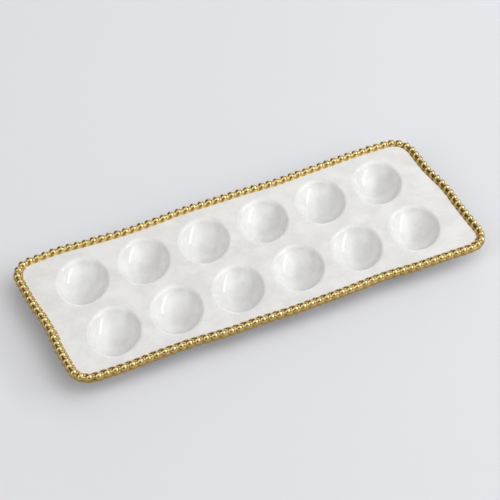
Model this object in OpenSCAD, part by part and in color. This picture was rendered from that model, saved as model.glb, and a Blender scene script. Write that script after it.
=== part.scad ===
// Deviled egg platter: a glazed ceramic tray with two rows of egg cups and a gilded rim of beads.
// The origin is under the middle of the tray, on the surface that it stands on, with +Z up.

/* [Egg cups] */
// Width of a cup's mouth, measured where its rounded lip starts
cup_w = 46; // [40:0.5:56]
// Length of a cup's mouth, along the egg
cup_l = 60; // [58:0.5:72]
// Angle between the length of a cup and the short side of the tray
cup_lean = 27; // [0:1:30]
// Depth of a cup below the deck
cup_depth = 15; // [12:0.5:18]
// Thickness of a cup's floor
cup_floor = 5; // [3:0.5:8]
// Thickness of a cup's side wall
cup_wall = 6; // [4:0.5:6.5]
// Radius of the rounded lip between a cup and the deck
lip_r = 4; // [2:0.5:6]
// Width of the flat land between the lip and the deck's hole
lip_land = 1; // [0.5:0.25:1.5]
// Width of the flat foot under a cup
foot_w = 15; // [12:0.5:20]

/* [Deck] */
// Thickness of the deck
deck_t = 4.5; // [3:0.5:7]
// Deck left between neighbouring cups of one row, square to their length
cup_gap = 4.1; // [3:0.1:12]
// Deck left between the two rows of cups
row_gap = 8; // [3:0.5:20]
// Deck left between the end cups and the deepest wave of the rim
end_land = 15.7; // [5:0.1:30]
// Deck left between the side of the cups and the deepest wave of the rim
side_land = 6.1; // [3:0.1:20]
// Radius of the tray's corners at the bead centres
corner_r = 20; // [15:1:30]
// How far the deepest wave of the hand-formed edge falls inwards
wave_depth = 5; // [0:0.5:6]

/* [Gilded rim] */
// Diameter of a bead, whose centre is level with the deck
bead_d = 7.5; // [6:0.5:9]
// Space left between neighbouring beads
bead_gap = 0.05; // [0.05:0.05:0.5]
// Depth of the seat of the beads below the deck
bead_sink = 1; // [0.5:0.1:1.5]
// How far the ledge under the beads reaches outwards past their centres
ledge_w = 2.9; // [2:0.1:3.4]
// Thickness of that ledge
ledge_t = 1.4; // [1:0.1:2]
// How far the ledge overhangs the edge below it
ledge_undercut = 3.4; // [2:0.1:5]
// Width of the lip that shows between the beads and the deck
lip_show = 1.2; // [0.5:0.1:3]

/* [Hidden] */
porcelain = "white";
gilding = "goldenrod";
cup_columns = 6;
// Clearance of each joint between the pieces
joint_gap = 0.05;
// Overrun of every cut
over = 1;
half_turn = 180;
// A bead whose way in to the tray lies within this angle of the tray's length is one of a short side
short_side_angle = 20;

// Cup section: the bowl's arc and the lip's arc meet in one smooth tangent
deck_top = cup_depth + cup_floor;
mouth_r = cup_w / 2;
arc_centres = (mouth_r * mouth_r + cup_depth * cup_depth) / (2 * cup_depth);
bowl_r = arc_centres - lip_r;
bowl_z = cup_floor + bowl_r;
lip_z = deck_top - lip_r;
tangent_x = bowl_r * mouth_r / arc_centres;
tangent_z = bowl_z + bowl_r * (lip_z - bowl_z) / arc_centres;
shoulder_r = mouth_r + lip_land;
cup_straight = cup_l - cup_w;

// The cups set the tray's size: how far one reaches, how they are spaced and what is left around them
bead_r = bead_d / 2;
seat_z = deck_top - bead_sink;
deck_inset = bead_r + lip_show;
cup_reach_x = shoulder_r + cup_straight / 2 * sin(cup_lean);
cup_reach_y = shoulder_r + cup_straight / 2 * cos(cup_lean);
column_pitch = (2 * shoulder_r + cup_gap) / cos(cup_lean);
row_pitch = 2 * cup_reach_y + row_gap;
tray_l = (cup_columns - 1) * column_pitch + 2 * (cup_reach_x + end_land + deck_inset + wave_depth);
tray_w = row_pitch + 2 * (cup_reach_y + side_land + deck_inset + wave_depth);

// Waves of the edge, as shares of wave_depth, at equal steps around the tray.
// They start at the middle of the right end and run by the back edge.
wave_shares = [
    0.00, 0.40, 0.20, 0.35, 0.20, 0.40, 0.60, 0.80, 0.50,
    0.45, 0.35, 0.70, 0.85, 0.50, 0.10, 0.45, 0.70, 0.60,
    0.90, 0.55, 0.50, 0.90, 0.80, 1.05, 1.00, 0.60, 0.60,
    0.35, 0.40, 0.50, 0.75, 0.40, 0.30, 0.20, 0.55, 0.35,
];
path_steps = 720;

// One quarter of the rounded rectangle, from the middle of the right end to the middle of the back
corner_x = tray_l / 2 - corner_r;
corner_y = tray_w / 2 - corner_r;
corner_arc = PI * corner_r / 2;
quarter = corner_y + corner_arc + corner_x;
function quarter_at(s) =
    s < corner_y ? [corner_x + corner_r, s, 0] :
    s < corner_y + corner_arc ?
        let (a = 90 * (s - corner_y) / corner_arc)
        [corner_x + corner_r * cos(a), corner_y + corner_r * sin(a), a] :
    [quarter - s, corner_y + corner_r, 90];
function half_at(s) =
    s <= quarter ? quarter_at(s) :
    let (q = quarter_at(2 * quarter - s)) [-q[0], q[1], half_turn - q[2]];
function edge_at(s) =
    s <= 2 * quarter ? half_at(s) :
    let (h = half_at(s - 2 * quarter)) [-h[0], -h[1], half_turn + h[2]];

// A smooth curve through the wave shares, where t counts the shares passed
function wave_share(i) = wave_shares[(i + len(wave_shares)) % len(wave_shares)];
function wave_at(t) =
    let (i = floor(t), f = t - i,
        a = wave_share(i - 1), b = wave_share(i), c = wave_share(i + 1), d = wave_share(i + 2))
    b + f * (c - a + f * (2 * a - 5 * b + 4 * c - d + f * (3 * (b - c) + d - a))) / 2;

// The line that the bead centres follow, with its running length
path = [
    for (k = [0 : path_steps])
        let (e = edge_at(4 * quarter * k / path_steps),
            fall = wave_depth * wave_at(len(wave_shares) * k / path_steps))
        [e[0] - fall * cos(e[2]), e[1] - fall * sin(e[2])]
];
run = [
    for (k = 0, total = 0; k <= path_steps;
        k = k + 1, total = total + (k > path_steps ? 0 : norm(path[k] - path[k - 1])))
        total
];
path_length = run[path_steps];
x_by_run = [for (k = [0 : path_steps]) [run[k], path[k][0]]];
y_by_run = [for (k = [0 : path_steps]) [run[k], path[k][1]]];

// Beads at equal steps along that line, about the middle of their own box
bead_count = floor(path_length / (bead_d + bead_gap));
bead_step = path_length / bead_count;
raw_x = [for (j = [0 : bead_count - 1]) lookup(j * bead_step, x_by_run)];
raw_y = [for (j = [0 : bead_count - 1]) lookup(j * bead_step, y_by_run)];
middle = [(max(raw_x) + min(raw_x)) / 2, (max(raw_y) + min(raw_y)) / 2];
function bead_at(j) = let (i = (j + bead_count) % bead_count) [raw_x[i], raw_y[i]] - middle;
function unit(v) = v / norm(v);
function inward(from, to) = let (t = unit(to - from)) [-t[1], t[0]];
function bead_inward(j) = inward(bead_at(j - 1), bead_at(j + 1));

// The corner of the rim between bead j and the next one, at a distance d inwards of the beads
function rim_corner(j, d) =
    let (a = bead_at(j), b = bead_at(j + 1), along = unit(b - a),
        turn = asin((bead_inward(j) - bead_inward(j + 1)) * along / 2))
    (a + b) / 2 + inward(a, b) * (d / cos(turn) - norm(b - a) / 2 * tan(turn));
function rim_outline(d) = [for (j = [0 : bead_count - 1]) rim_corner(j, d)];

// Places a piece at the cup of a column and row, with the length of the egg along its Y
module at_cup(column, row) {
    x = (column - (cup_columns + 1) / 2) * column_pitch - middle[0];
    translate([x, row * row_pitch / 2 - middle[1], 0])
        rotate([0, 0, -cup_lean])
            children();
}

// Turns a half section into a long round-ended solid: half a turn at each end and a straight middle
module oval() {
    for (end = [-1, 1])
        translate([0, end * cup_straight / 2, 0])
            rotate([0, 0, (1 - end) * half_turn / 2])
                rotate_extrude(angle = half_turn, $fn = 90)
                    children();
    for (side = [0, 1])
        mirror([side, 0, 0])
            rotate([90, 0, 0])
                linear_extrude(cup_straight, center = true)
                    children();
}

module bowl_hollow() {
    intersection() {
        translate([0, bowl_z])
            circle(bowl_r, $fn = 96);
        translate([0, cup_floor - over])
            square([bowl_r, tangent_z - cup_floor + over]);
    }
}

module lip_hollow() {
    difference() {
        polygon([
            [0, tangent_z], [tangent_x, tangent_z], [mouth_r, deck_top],
            [mouth_r, deck_top + over], [0, deck_top + over],
        ]);
        translate([mouth_r, lip_z])
            circle(lip_r, $fn = 64);
    }
}

module cup_outside() {
    intersection() {
        translate([0, bowl_z])
            circle(bowl_r + cup_wall, $fn = 96);
        square([bowl_r + cup_wall, deck_top - deck_t]);
    }
    translate([0, deck_top - deck_t])
        square([shoulder_r, deck_t]);
    square([foot_w / 2, cup_floor]);
}

module egg_cup(column, row) {
    color(porcelain)
        at_cup(column, row)
            oval()
                difference() {
                    cup_outside();
                    bowl_hollow();
                    lip_hollow();
                }
}

module deck() {
    color(porcelain)
        difference() {
            translate([0, 0, deck_top - deck_t])
                linear_extrude(deck_t)
                    polygon(rim_outline(deck_inset));
            for (row = [-1, 1], column = [1 : cup_columns])
                at_cup(column, row)
                    oval()
                        translate([0, deck_top - deck_t - over])
                            square([shoulder_r + joint_gap, deck_t + 2 * over]);
        }
}

// A level slice of the rim, from the distance outer to the deck
module rim_slice(bottom, top, outer) {
    translate([0, 0, bottom])
        linear_extrude(top - bottom)
            difference() {
                polygon(rim_outline(outer));
                polygon(rim_outline(deck_inset));
            }
}

module rim_band() {
    color(gilding) {
        rim_slice(deck_top - deck_t, seat_z, ledge_undercut - ledge_w);
        rim_slice(seat_z - ledge_t, seat_z, -ledge_w);
        rim_slice(deck_top - deck_t, deck_top, bead_r + joint_gap);
    }
}

// A ball with a level flat, just clear of its seat
module bead(j) {
    translate([bead_at(j)[0], bead_at(j)[1], deck_top])
        rotate_extrude($fn = 32)
            intersection() {
                circle(bead_r, $fn = 32);
                translate([0, joint_gap - bead_sink])
                    square([bead_r, bead_r + bead_sink]);
            }
}

// The beads whose way in to the tray lies within an angle of the given direction
module beads_facing(direction, angle) {
    color(gilding)
        for (j = [0 : bead_count - 1])
            if (bead_inward(j) * direction > cos(angle))
                bead(j);
}
module short_side_beads(direction) {
    beads_facing([direction, 0], short_side_angle);
}
module long_side_beads(direction) {
    beads_facing([0, direction], half_turn / 2 - short_side_angle);
}

deck();
egg_cup(1, 1);  // egg_cup_back_1
egg_cup(2, 1);  // egg_cup_back_2
egg_cup(3, 1);  // egg_cup_back_3
egg_cup(4, 1);  // egg_cup_back_4
egg_cup(5, 1);  // egg_cup_back_5
egg_cup(6, 1);  // egg_cup_back_6
egg_cup(1, -1);  // egg_cup_front_1
egg_cup(2, -1);  // egg_cup_front_2
egg_cup(3, -1);  // egg_cup_front_3
egg_cup(4, -1);  // egg_cup_front_4
egg_cup(5, -1);  // egg_cup_front_5
egg_cup(6, -1);  // egg_cup_front_6
rim_band();
long_side_beads(-1);  // beads_back
long_side_beads(1);  // beads_front
short_side_beads(1);  // beads_left
short_side_beads(-1);  // beads_right
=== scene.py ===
import math
import random

import bmesh
import bpy
import numpy as np
from mathutils import Matrix, Vector, noise


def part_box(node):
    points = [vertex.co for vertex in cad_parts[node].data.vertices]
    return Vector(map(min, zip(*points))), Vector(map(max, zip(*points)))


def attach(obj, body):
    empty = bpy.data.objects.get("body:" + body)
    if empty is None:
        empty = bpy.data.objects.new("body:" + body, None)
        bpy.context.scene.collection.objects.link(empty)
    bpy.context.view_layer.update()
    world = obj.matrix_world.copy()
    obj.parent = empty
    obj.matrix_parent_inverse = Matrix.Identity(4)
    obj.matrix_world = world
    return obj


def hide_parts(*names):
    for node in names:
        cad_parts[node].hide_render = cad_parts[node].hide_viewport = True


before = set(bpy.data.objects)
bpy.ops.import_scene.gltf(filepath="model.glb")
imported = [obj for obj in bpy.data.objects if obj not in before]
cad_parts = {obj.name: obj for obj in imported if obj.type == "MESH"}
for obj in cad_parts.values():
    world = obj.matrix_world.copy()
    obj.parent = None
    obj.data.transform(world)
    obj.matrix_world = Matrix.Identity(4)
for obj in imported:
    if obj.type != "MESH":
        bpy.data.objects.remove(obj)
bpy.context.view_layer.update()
mm = 0.001  # the sizes below are millimetres times this
weld = 0.002 * mm  # points of a new mesh nearer than this become one
random.seed(12)
noise.seed_set(12)  # noise_vector starts from the clock without this


# Helpers for node trees

def fillSockets(tree, node, values):
    for key, value in values.items():
        socket = node.inputs[key]
        if isinstance(value, bpy.types.NodeSocket):
            tree.links.new(value, socket)
        else:
            socket.default_value = value


def addNode(tree, kind, settings=None, **values):
    node = tree.nodes.new(kind)
    for key, value in (settings or {}).items():
        setattr(node, key, value)
    fillSockets(tree, node, values)
    return node


def startGroup(name, inputs, outputs):
    group = bpy.data.node_groups.new(name, "ShaderNodeTree")
    for label, kind, value in inputs:
        socket = group.interface.new_socket(name=label, in_out="INPUT", socket_type=kind)
        socket.default_value = value
    for label, kind in outputs:
        group.interface.new_socket(name=label, in_out="OUTPUT", socket_type=kind)
    given = group.nodes.new("NodeGroupInput").outputs
    out = group.nodes.new("NodeGroupOutput").inputs
    return group, given, out


def placeGroup(tree, group, **values):
    return addNode(tree, "ShaderNodeGroup", {"node_tree": group}, **values).outputs[0]


def reckon(tree, operation, *terms):
    node = addNode(tree, "ShaderNodeMath", {"operation": operation})
    fillSockets(tree, node, dict(enumerate(terms)))
    return node.outputs[0]


def spread(tree, value, fromEnds=(0, 1), toEnds=(0, 1), kind="LINEAR"):
    node = addNode(tree, "ShaderNodeMapRange", {"interpolation_type": kind}, Value=value)
    fillSockets(tree, node, {
        "From Min": fromEnds[0], "From Max": fromEnds[1],
        "To Min": toEnds[0], "To Max": toEnds[1]})
    return node.outputs[0]


def mixValues(tree, share, low, high):
    return addNode(tree, "ShaderNodeMix", Factor=share, A=low, B=high).outputs[0]


def mixColours(tree, share, low, high):
    node = addNode(tree, "ShaderNodeMix", {"data_type": "RGBA"})
    fillSockets(tree, node, {0: share, 6: low, 7: high})  # sockets 6 and 7 take the colours
    return node.outputs[2]


def noiseAt(tree, place, scale, detail):
    return addNode(tree, "ShaderNodeTexNoise", Vector=place, Scale=scale, Detail=detail).outputs[0]


# Mottle: cloudy patches in two sizes, as thick and thin glaze gives

mottleLook = {
    "cloudDetail": 3.0,
    "fleckDetail": 2.0,
    "edges": (0.34, 0.66),  # the noise values where a patch begins and is full
}


def makeMottle(look):
    group, given, out = startGroup(
        "mottle",
        [("Place", "NodeSocketVector", (0, 0, 0)),
         ("Cloud", "NodeSocketFloat", 40.0),
         ("Fleck", "NodeSocketFloat", 220.0),
         ("Share", "NodeSocketFloat", 0.3)],
        [("Mask", "NodeSocketFloat")])
    cloud = noiseAt(group, given["Place"], given["Cloud"], look["cloudDetail"])
    fleck = noiseAt(group, given["Place"], given["Fleck"], look["fleckDetail"])
    both = mixValues(group, given["Share"], cloud, fleck)
    mask = spread(group, both, fromEnds=look["edges"], kind="SMOOTHSTEP")
    group.links.new(mask, out["Mask"])
    return group


# Ripple: the height of a hand-formed surface, a slow wave with fine orange peel on it

rippleLook = {
    "detail": 1.0,
}


def makeRipple(look):
    group, given, out = startGroup(
        "ripple",
        [("Place", "NodeSocketVector", (0, 0, 0)),
         ("Wave", "NodeSocketFloat", 45.0),
         ("Peel", "NodeSocketFloat", 500.0),
         ("PeelShare", "NodeSocketFloat", 0.1)],
        [("Height", "NodeSocketFloat")])
    wave = noiseAt(group, given["Place"], given["Wave"], look["detail"])
    peel = noiseAt(group, given["Place"], given["Peel"], look["detail"])
    fine = reckon(group, "MULTIPLY", peel, given["PeelShare"])
    group.links.new(reckon(group, "ADD", wave, fine), out["Height"])
    return group


# HeightMask: 0 below one height and 1 above another, along the object's own Z

def makeHeightMask():
    group, given, out = startGroup(
        "heightMask",
        [("Place", "NodeSocketVector", (0, 0, 0)),
         ("Low", "NodeSocketFloat", 0.0),
         ("High", "NodeSocketFloat", 1.0)],
        [("Mask", "NodeSocketFloat")])
    height = addNode(group, "ShaderNodeSeparateXYZ", Vector=given["Place"]).outputs["Z"]
    mask = spread(group, height, fromEnds=(given["Low"], given["High"]), kind="SMOOTHSTEP")
    group.links.new(mask, out["Mask"])
    return group


mottle = makeMottle(mottleLook)
ripple = makeRipple(rippleLook)
heightMask = makeHeightMask()


def startMaterial(name):
    material = bpy.data.materials.new(name)
    material.use_nodes = True
    tree = material.node_tree
    place = tree.nodes.new("ShaderNodeTexCoord").outputs["Object"]
    return material, tree, tree.nodes["Principled BSDF"], place


def mottleOf(tree, place, look):
    return placeGroup(
        tree, mottle, Place=place,
        Cloud=look["cloud"], Fleck=look["fleck"], Share=look["fleckShare"])


def rippleBump(tree, place, look):
    height = placeGroup(
        tree, ripple, Place=place,
        Wave=look["wave"], Peel=look["peel"], PeelShare=look["peelShare"])
    return addNode(tree, "ShaderNodeBump", Distance=look["bump"], Height=height).outputs[0]


# The glaze: pearly white in thick and thin clouds, wiped off the feet

glazeLook = {
    "thick": (0.80, 0.82, 0.83, 1),
    "thin": (0.72, 0.735, 0.745, 1),
    "bare": (0.70, 0.65, 0.58, 1),
    "gloss": 0.14,
    "dull": 0.17,
    "coat": 0.25,
    "cloud": 62.0,  # patches to a metre, as are fleck, wave and peel
    "fleck": 260.0,
    "fleckShare": 0.25,
    "wave": 48.0,
    "peel": 650.0,
    "peelShare": 0.05,
    "bump": 0.25 * mm,
    "footLow": 0.3 * mm,  # bare clay below this height
    "footHigh": 0.9 * mm,  # and full glaze above this one
}


def makeGlaze(look):
    material, tree, shader, place = startMaterial("pearlyWhiteGlaze")
    clouds = mottleOf(tree, place, look)
    glazed = placeGroup(tree, heightMask, Place=place, Low=look["footLow"], High=look["footHigh"])
    colour = mixColours(tree, clouds, look["thin"], look["thick"])
    fillSockets(tree, shader, {
        "Base Color": mixColours(tree, glazed, look["bare"], colour),
        "Roughness": spread(tree, clouds, toEnds=(look["dull"], look["gloss"])),
        "Coat Weight": reckon(tree, "MULTIPLY", glazed, look["coat"]),
        "Normal": rippleBump(tree, place, look),
    })
    return material


# The gold: paler and smoother on the crests as painted highlight, darker and browner low down as
# painted shade, bare glaze beyond its edge

goldLook = {
    # the gold painted as lit on the crests, and as in shade low down
    "paintedLitGold": (0.585, 0.465, 0.215, 1),
    "paintedShadedGold": (0.40, 0.23, 0.03, 1),
    "bare": (0.83, 0.82, 0.80, 1),
    "bareGloss": 0.22,
    "gloss": 0.14,
    "dull": 0.24,
    "coat": 0.2,
    "cloud": 180.0,
    "fleck": 900.0,
    "fleckShare": 0.4,
    "leastLift": 0.75,  # how much of the crests' brightness the darkest patches keep
    "wave": 420.0,
    "peel": 1800.0,
    "peelShare": 0.2,
    "bump": 0.2 * mm,
    "low": -3.8 * mm,  # painted shade deepest this far from the deck's top
    "high": 2.2 * mm,  # and painted highlight brightest from this far up
}


def makeGold(look, deckTop):
    material, tree, shader, place = startMaterial("goldLustre")
    # Painted light: shade low on the beads and band, highlight on the crests, mixed with random
    # patches
    crest = placeGroup(
        tree, heightMask, Place=place, Low=deckTop + look["low"], High=deckTop + look["high"])
    lift = spread(tree, mottleOf(tree, place, look), toEnds=(look["leastLift"], 1))
    paintedLightAndPatches = reckon(tree, "MULTIPLY", crest, lift)
    bare = addNode(tree, "ShaderNodeAttribute", {"attribute_name": "bareGlaze"}).outputs["Fac"]
    colour = mixColours(tree, paintedLightAndPatches, look["paintedShadedGold"], look["paintedLitGold"])
    finish = spread(tree, paintedLightAndPatches, toEnds=(look["dull"], look["gloss"]))
    fillSockets(tree, shader, {
        "Base Color": mixColours(tree, bare, colour, look["bare"]),
        "Metallic": reckon(tree, "SUBTRACT", 1, bare),
        "Roughness": mixValues(tree, bare, finish, look["bareGloss"]),
        "Coat Weight": look["coat"],
        "Normal": rippleBump(tree, place, look),
    })
    return material


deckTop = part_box("deck")[1].z
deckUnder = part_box("deck")[0].z
glaze = makeGlaze(glazeLook)
gold = makeGold(goldLook, deckTop)
print("materials ready")


# Helpers for meshes

def finishPiece(bm, name, node, material, sharpAngle):
    bmesh.ops.remove_doubles(bm, verts=bm.verts, dist=weld)
    bmesh.ops.recalc_face_normals(bm, faces=bm.faces)
    openEdges = sum(not edge.is_manifold for edge in bm.edges)
    mesh = bpy.data.meshes.new(name)
    bm.to_mesh(mesh)
    bm.free()
    mesh.shade_smooth()
    mesh.set_sharp_from_angle(angle=math.radians(sharpAngle))
    mesh.materials.append(material)
    piece = bpy.data.objects.new(name, mesh)
    bpy.context.scene.collection.objects.link(piece)
    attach(piece, "root")
    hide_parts(node)
    print(f"{name}: {len(mesh.polygons)} faces, {openEdges} open edges")


def ring(bm, points):
    verts = [bm.verts.new(point) for point in points]
    return [bm.edges.new((verts[i - 1], verts[i])) for i in range(len(verts))]


def vertsIn(made):
    return [item for item in made if isinstance(item, bmesh.types.BMVert)]


# Egg cups: one section, spun and stretched to an oval

cupShape = {
    "halfWidth": 23.9 * mm,
    "stretch": 1.35,
    "lean": 27,
    "depth": 15 * mm,
    "lip": 3.8 * mm,
    "apron": 0.5 * mm,
    "wall": 6 * mm,
    "fillet": 2.5 * mm,
    "footRound": 1.2 * mm,
    "footBevel": [(0.7, 0.3), (1.6, 0)],  # in from the foot's edge and up, in shares of footRound
    "bowlSteps": 22,
    "lipSteps": 9,
    "filletSteps": 6,
    "outerSteps": 14,
    "segments": 96,
    "sharpAngle": 40,
    "dent": 0.22 * mm,
    "dentSize": 17 * mm,
    "dentFade": 7 * mm,
    "rimKept": 0.02 * mm,  # points this near the deck's top stay where they are
}


def arcBy(bm, vert, centre, degrees, steps):
    made = bmesh.ops.spin(
        bm, geom=[vert], cent=(centre[0], 0, centre[1]), axis=(0, 1, 0),
        angle=math.radians(degrees), steps=steps)
    return vertsIn(made["geom_last"])[0]


def lineTo(bm, vert, x, z):
    made = bmesh.ops.extrude_vert_indiv(bm, verts=[vert])
    made["verts"][0].co = (x, 0, z)
    return made["verts"][0]


def cupSection(bm, s):
    floorTop = deckTop - s["depth"]
    arcs = (s["halfWidth"] ** 2 + s["depth"] ** 2) / (2 * s["depth"])
    bowl = arcs - s["lip"]
    bowlZ = floorTop + bowl
    steep = math.degrees(math.asin(s["halfWidth"] / arcs))
    vert = bm.verts.new((0, 0, floorTop))
    vert = arcBy(bm, vert, (0, bowlZ), -steep, s["bowlSteps"])
    vert = arcBy(bm, vert, (s["halfWidth"], deckTop - s["lip"]), steep, s["lipSteps"])
    shoulder = s["halfWidth"] + s["apron"]
    vert = lineTo(bm, vert, shoulder, deckTop)
    vert = lineTo(bm, vert, shoulder, deckUnder)
    outer = bowl + s["wall"]
    filletZ = deckUnder - s["fillet"]
    filletX = math.sqrt((outer + s["fillet"]) ** 2 - (bowlZ - filletZ) ** 2)
    vert = lineTo(bm, vert, filletX, deckUnder)
    filletTurn = math.degrees(math.atan2(filletX, bowlZ - filletZ))
    vert = arcBy(bm, vert, (filletX, filletZ), -filletTurn, s["filletSteps"])
    footTurn = math.degrees(math.acos((bowlZ - s["footRound"]) / outer))
    vert = arcBy(bm, vert, (0, bowlZ), filletTurn - footTurn, s["outerSteps"])
    footX = outer * math.sin(math.radians(footTurn))
    for inward, up in s["footBevel"]:
        vert = lineTo(bm, vert, footX - inward * s["footRound"], up * s["footRound"])
    lineTo(bm, vert, 0, 0)


def dentSurface(vert, s):
    # The hand-pressed bowl: a soft unevenness that fades out at the lip and stays off the foot
    height = vert.co.z
    if height <= 0 or height >= deckTop - s["rimKept"]:
        return
    depthShare = min(1, (deckTop - height) / s["dentFade"]) ** 2
    push = noise.noise_vector(vert.co / s["dentSize"]) * s["dent"] * depthShare
    vert.co += Vector((push.x, push.y, push.z * min(1, height / s["fillet"])))


def middleOf(node):
    low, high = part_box(node)
    return (low + high) / 2


def makeCup(node, s):
    centre = middleOf(node)
    turn = Matrix.Rotation(-math.radians(s["lean"]), 3, "Z")
    bm = bmesh.new()
    cupSection(bm, s)
    bmesh.ops.spin(
        bm, geom=bm.verts[:] + bm.edges[:], cent=(0, 0, 0), axis=(0, 0, 1),
        angle=math.tau, steps=s["segments"], use_merge=True)
    bmesh.ops.remove_doubles(bm, verts=bm.verts, dist=weld)
    bmesh.ops.scale(bm, vec=(1, s["stretch"], 1), verts=bm.verts)
    bmesh.ops.rotate(bm, cent=(0, 0, 0), matrix=turn, verts=bm.verts)
    bmesh.ops.translate(bm, vec=(centre.x, centre.y, 0), verts=bm.verts)
    for vert in bm.verts:
        dentSurface(vert, s)
    finishPiece(bm, node + "_glazed", node, glaze, s["sharpAngle"])


cupNodes = sorted(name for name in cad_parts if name.startswith("egg_cup"))
for name in cupNodes:
    makeCup(name, cupShape)


# The line of the beads, read from the balls of the frame

ballWeld = 0.005 * mm  # a ball comes as loose triangles, joined where their corners are this near


def ballOf(verts):
    # The ball that fits the points best, by least squares
    points = np.array([vert.co for vert in verts])
    table = np.c_[2 * points, np.ones(len(points))]
    centre = np.linalg.lstsq(table, (points ** 2).sum(1), rcond=None)[0]
    return Vector(centre[:3]), math.sqrt(centre[3] + (centre[:3] ** 2).sum())


def ballsOf(node):
    bm = bmesh.new()
    bm.from_mesh(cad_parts[node].data)
    bmesh.ops.remove_doubles(bm, verts=bm.verts, dist=ballWeld)
    balls = []
    left = set(bm.verts)
    while left:
        front = [left.pop()]
        island = []
        while front:
            vert = front.pop()
            island.append(vert)
            near = [edge.other_vert(vert) for edge in vert.link_edges]
            front += [other for other in near if other in left]
            left.difference_update(near)
        balls.append((*ballOf(island), node))
    bm.free()
    return balls


beadNodes = ["beads_back", "beads_front", "beads_left", "beads_right"]
balls = [ball for node in beadNodes for ball in ballsOf(node)]
balls.sort(key=lambda ball: math.atan2(ball[0].y, ball[0].x))
print(f"{len(balls)} beads found, radius {balls[0][1] / mm:.2f} mm")


def smoothLine(points, steps):
    # A Catmull-Rom curve through the closed line of points, as places with their way inwards
    count = len(points)
    line = []
    for i in range(count):
        a, b, c, d = (points[(i + k) % count] for k in (-1, 0, 1, 2))
        first = c - a
        second = 2 * a - 5 * b + 4 * c - d
        third = 3 * (b - c) + d - a
        for k in range(steps):
            t = k / steps
            place = b + t / 2 * (first + t * (second + t * third))
            along = first + t * (2 * second + 3 * t * third)
            line.append((place, Vector((-along.y, along.x, 0)).normalized()))
    return line


rimShape = {
    "steps": 6,  # points of the line from one bead to the next
    "straySize": 9 * mm,  # the length of the wobbles of the hand-laid band
}
rimLine = smoothLine([ball[0] for ball in balls], rimShape["steps"])


def beadWave(i):
    # 1 at the middle of each bead and -1 between two of them
    return math.cos(math.tau * i / rimShape["steps"])


def rimPlace(i, inset, height, wobble=0, scallop=0):
    place, inward = rimLine[i]
    stray = wobble * noise.noise(place / rimShape["straySize"]) - scallop * beadWave(i)
    return Vector((place.x, place.y, height)) + inward * (inset + stray)


def rimRing(bm, inset, height):
    return ring(bm, [rimPlace(i, inset, height) for i in range(len(rimLine))])


# The deck: a plate with twelve oval holes

deckShape = {
    "inset": 5.4 * mm,  # from the bead centres, under the band's lip
    "overrun": 1 * mm,
    "sharpAngle": 40,
}


def plateOf(name, bm, low, high):
    made = bmesh.ops.extrude_face_region(bm, geom=bm.faces[:])
    bmesh.ops.translate(bm, vec=(0, 0, low - high), verts=vertsIn(made["geom"]))
    bmesh.ops.recalc_face_normals(bm, faces=bm.faces)
    mesh = bpy.data.meshes.new(name)
    bm.to_mesh(mesh)
    bm.free()
    plate = bpy.data.objects.new(name, mesh)
    bpy.context.scene.collection.objects.link(plate)
    return plate


def makeDeck(s, cup):
    bm = bmesh.new()
    bmesh.ops.contextual_create(bm, geom=rimRing(bm, s["inset"], deckTop))
    plate = plateOf("plate", bm, deckUnder, deckTop)
    bm = bmesh.new()
    turn = Matrix.Rotation(-math.radians(cup["lean"]), 4, "Z")
    oval = Matrix.Diagonal((1, cup["stretch"], 1, 1))
    for name in cupNodes:
        centre = middleOf(name)
        place = Matrix.Translation((centre.x, centre.y, deckTop + s["overrun"]))
        bmesh.ops.create_circle(
            bm, cap_ends=True, radius=cup["halfWidth"] + cup["apron"], segments=cup["segments"],
            matrix=place @ turn @ oval)
    holes = plateOf("holes", bm, deckUnder - s["overrun"], deckTop + s["overrun"])
    cut = plate.modifiers.new("holes", "BOOLEAN")
    cut.object = holes
    cut.solver = "EXACT"
    shown = plate.evaluated_get(bpy.context.evaluated_depsgraph_get())
    bm = bmesh.new()
    bm.from_mesh(shown.to_mesh())
    bpy.data.objects.remove(plate)
    bpy.data.objects.remove(holes)
    finishPiece(bm, "deck_glazed", "deck", glaze, s["sharpAngle"])


makeDeck(deckShape, cupShape)


# The gilded band: a lip beside the deck, a low ridge under the beads, a scalloped skirt outside

bandShape = {
    # the next three lines give points of the section, in millimetres: how far in from the bead
    # centres and how far over the deck
    "lip": [(2.2, 0.5), (2.9, 0.42), (3.6, 0.33), (4.3, 0.22), (4.9, 0.1), (5.4, 0)],
    "under": [(5.55, -0.5), (5.4, -4.5), (1.6, -4.5), (-1.2, -4.2)],
    "skirt": [
        (-1.8, -3.8), (-2.5, -3.65), (-3.0, -3.35), (-3.2, -2.9), (-3.2, -2.35),
        (-3.05, -1.75), (-2.8, -1.15), (-2.45, -0.6), (-2.0, -0.2),
    ],
    "ridge": 2.5,  # its radius and the height of its middle, in millimetres, and its arc in degrees
    "ridgeHeight": -0.75,
    "ridgeFrom": -50,
    "ridgeTo": 50,
    "ridgeSteps": 8,
    "wobble": 0.25 * mm,
    "scallop": 0.25 * mm,
    "swell": 0.8,  # how much higher the lip stands along the back
    "flute": 1.3,  # how much it rises beside each bead and falls between two
    "giltWidth": (4.5, 5.4),  # how far in the gold reaches, in millimetres, least and most
    "giltWay": (-0.1, -0.9),  # the way inwards from the side where it reaches furthest
    "giltMiddle": 0.5,
    "giltTurn": 1.5,
    "sharpAngle": 60,
}


def giltShare(i, s):
    # The gilding was brushed on wider along the back than along the front
    inward = rimLine[i][1]
    facing = inward.x * s["giltWay"][0] + inward.y * s["giltWay"][1]
    return min(1, max(0, s["giltMiddle"] + s["giltTurn"] * facing))


def ridgeLine(s):
    turns = [
        math.radians(s["ridgeFrom"] + (s["ridgeTo"] - s["ridgeFrom"]) * k / s["ridgeSteps"])
        for k in range(s["ridgeSteps"] + 1)]
    return [
        (s["ridge"] * math.sin(turn), s["ridgeHeight"] + s["ridge"] * math.cos(turn))
        for turn in turns]


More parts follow.
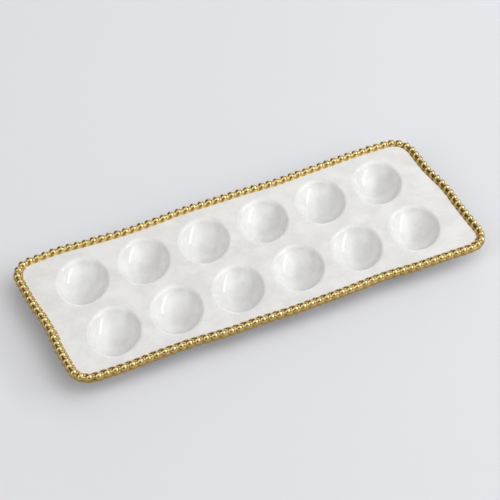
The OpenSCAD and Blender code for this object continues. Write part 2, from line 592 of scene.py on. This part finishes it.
def makeBand(s):
    section = ridgeLine(s) + s["lip"] + s["under"] + s["skirt"]
    narrow, wide = s["giltWidth"]
    bm = bmesh.new()
    order = bm.verts.layers.int.new("order")
    bare = bm.verts.layers.float.new("bareGlaze")
    last = rimRing(bm, section[0][0] * mm, deckTop + section[0][1] * mm)
    for i, vert in enumerate(bm.verts):
        vert[order] = i
    for inset, height in section[1:] + section[:1]:
        onLip = (inset, height) in s["lip"]
        wobble = s["wobble"] if onLip and height > 0 else 0
        scallop = s["scallop"] if (inset, height) in s["skirt"] else 0
        made = bmesh.ops.extrude_edge_only(bm, edges=last)["geom"]
        for vert in vertsIn(made):
            i = vert[order]
            swell = s["swell"] * max(0, -rimLine[i][1].y)
            rise = 1 + swell + s["flute"] * beadWave(i) if onLip else 1
            vert.co = rimPlace(i, inset * mm, deckTop + rise * height * mm, wobble, scallop)
            vert[bare] = onLip and inset > narrow + (wide - narrow) * giltShare(i, s)
        last = [item for item in made if isinstance(item, bmesh.types.BMEdge) and item.is_boundary]
    finishPiece(bm, "rim_band_gilded", "rim_band", gold, s["sharpAngle"])


makeBand(bandShape)


# The beads: each one a slightly smaller ball, shifted to touch its ball of the frame from inside

beadShape = {
    "least": 0.92,
    "subdivisions": 2,
    "sharpAngle": 180,
}


def makeBeads(node, s):
    bm = bmesh.new()
    for centre, radius, owner in balls:
        if owner != node:
            continue
        size = random.uniform(s["least"], 1)
        shift = Vector([random.uniform(-1, 1) for _ in range(3)]).normalized()
        verts = bmesh.ops.create_icosphere(
            bm, subdivisions=s["subdivisions"], radius=radius * size)["verts"]
        turn = Matrix.Rotation(random.uniform(0, math.tau), 3, shift)
        bmesh.ops.rotate(bm, cent=(0, 0, 0), matrix=turn, verts=verts)
        bmesh.ops.translate(bm, vec=centre + shift * radius * (1 - size), verts=verts)
    finishPiece(bm, node + "_gilded", node, gold, s["sharpAngle"])


for name in beadNodes:
    makeBeads(name, beadShape)


# Floor, light and camera

studio = {
    "floor": (0.73, 0.76, 0.815, 1),
    "floorRoughness": 0.8,
    "floorSize": 40,  # metres, as are the lamp's place, target and size
    "floorSteps": 4,
    "room": (0.08, 0.05, 0.02),
    "softLights": [  # azimuth and elevation in degrees, sharpness, strength
        (325, 56, 7, 1.8),
        (315, 16, 10, 1.5),
        (215, 58, 14, 1.45),
        (182, 38, 18, 1.2),
        (200, 14, 20, 1.4),
        (43, 38, 22, 0.75),
        (60, 66, 12, 0.35),
        (66, 10, 20, 2.0),
    ],
    "lampPlace": (1.33, -0.48, 0.77),
    "lampTarget": (0, 0, 0.02),
    "lampSize": (1.4, 0.13),
    "lampPower": 6.0,
    "target": (0.195 * mm, 4.629 * mm, 20 * mm),
    "azimuth": -26.508,
    "elevation": 42.807,
    "distance": 1743.1 * mm,
    "lens": 142.15,
    "sensor": 36,
    "farthest": 30,
}


def aim(thing, place, target):
    thing.location = place
    thing.rotation_euler = (Vector(target) - Vector(place)).to_track_quat("-Z", "Y").to_euler()


# SoftLight: light from one direction of the sky that fades off around it

def makeSoftLight():
    group, given, out = startGroup(
        "softLight",
        [("Sky", "NodeSocketVector", (0, 0, 1)),
         ("Way", "NodeSocketVector", (0, 0, 1)),
         ("Sharpness", "NodeSocketFloat", 10.0),
         ("Strength", "NodeSocketFloat", 1.0),
         ("Before", "NodeSocketFloat", 0.0)],
        [("Light", "NodeSocketFloat")])
    facing = addNode(group, "ShaderNodeVectorMath", {"operation": "DOT_PRODUCT"})
    fillSockets(group, facing, {0: given["Sky"], 1: given["Way"]})
    away = reckon(group, "SUBTRACT", facing.outputs["Value"], 1)
    fade = reckon(group, "EXPONENT", reckon(group, "MULTIPLY", away, given["Sharpness"]))
    total = reckon(group, "MULTIPLY_ADD", fade, given["Strength"], given["Before"])
    group.links.new(total, out["Light"])
    return group


def makeSky(s):
    world = bpy.data.worlds.new("studio")
    world.use_nodes = True
    tree = world.node_tree
    sky = tree.nodes.new("ShaderNodeTexCoord").outputs["Generated"]
    softLight = makeSoftLight()
    light = 0.0
    for azimuth, elevation, sharpness, strength in s["softLights"]:
        turn, tilt = math.radians(azimuth), math.radians(elevation)
        way = (math.cos(turn) * math.cos(tilt), math.sin(turn) * math.cos(tilt), math.sin(tilt))
        light = placeGroup(
            tree, softLight, Sky=sky, Way=way,
            Sharpness=sharpness, Strength=strength, Before=light)
    total = addNode(tree, "ShaderNodeVectorMath", {"operation": "ADD"})
    fillSockets(tree, total, {0: light, 1: s["room"]})
    tree.links.new(total.outputs[0], tree.nodes["Background"].inputs["Color"])
    bpy.context.scene.world = world


def makeFloor(s):
    bm = bmesh.new()
    bmesh.ops.create_grid(
        bm, x_segments=s["floorSteps"], y_segments=s["floorSteps"], size=s["floorSize"] / 2)
    mesh = bpy.data.meshes.new("tableTop")
    bm.to_mesh(mesh)
    bm.free()
    floor = bpy.data.objects.new("tableTop", mesh)
    bpy.context.scene.collection.objects.link(floor)
    material = bpy.data.materials.new("paleTable")
    material.use_nodes = True
    shader = material.node_tree.nodes["Principled BSDF"]
    shader.inputs["Base Color"].default_value = s["floor"]
    shader.inputs["Roughness"].default_value = s["floorRoughness"]
    mesh.materials.append(material)


def makeLamp(s):
    light = bpy.data.lights.new("softbox", "AREA")
    light.shape = "RECTANGLE"
    light.size, light.size_y = s["lampSize"]
    light.energy = s["lampPower"]
    lamp = bpy.data.objects.new("softbox", light)
    bpy.context.scene.collection.objects.link(lamp)
    aim(lamp, s["lampPlace"], s["lampTarget"])


def makeCamera(s):
    turn, tilt = math.radians(s["azimuth"]), math.radians(s["elevation"])
    back = Vector((
        math.sin(turn) * math.cos(tilt), -math.cos(turn) * math.cos(tilt), math.sin(tilt)))
    camera = bpy.data.cameras.new("camera")
    camera.lens = s["lens"]
    camera.sensor_width = s["sensor"]
    camera.clip_end = s["farthest"]
    stand = bpy.data.objects.new("camera", camera)
    bpy.context.scene.collection.objects.link(stand)
    aim(stand, Vector(s["target"]) + back * s["distance"], s["target"])
    bpy.context.scene.camera = stand


makeSky(studio)
makeFloor(studio)
makeLamp(studio)
makeCamera(studio)
bpy.context.scene.view_settings.view_transform = "Standard"
print("studio ready")
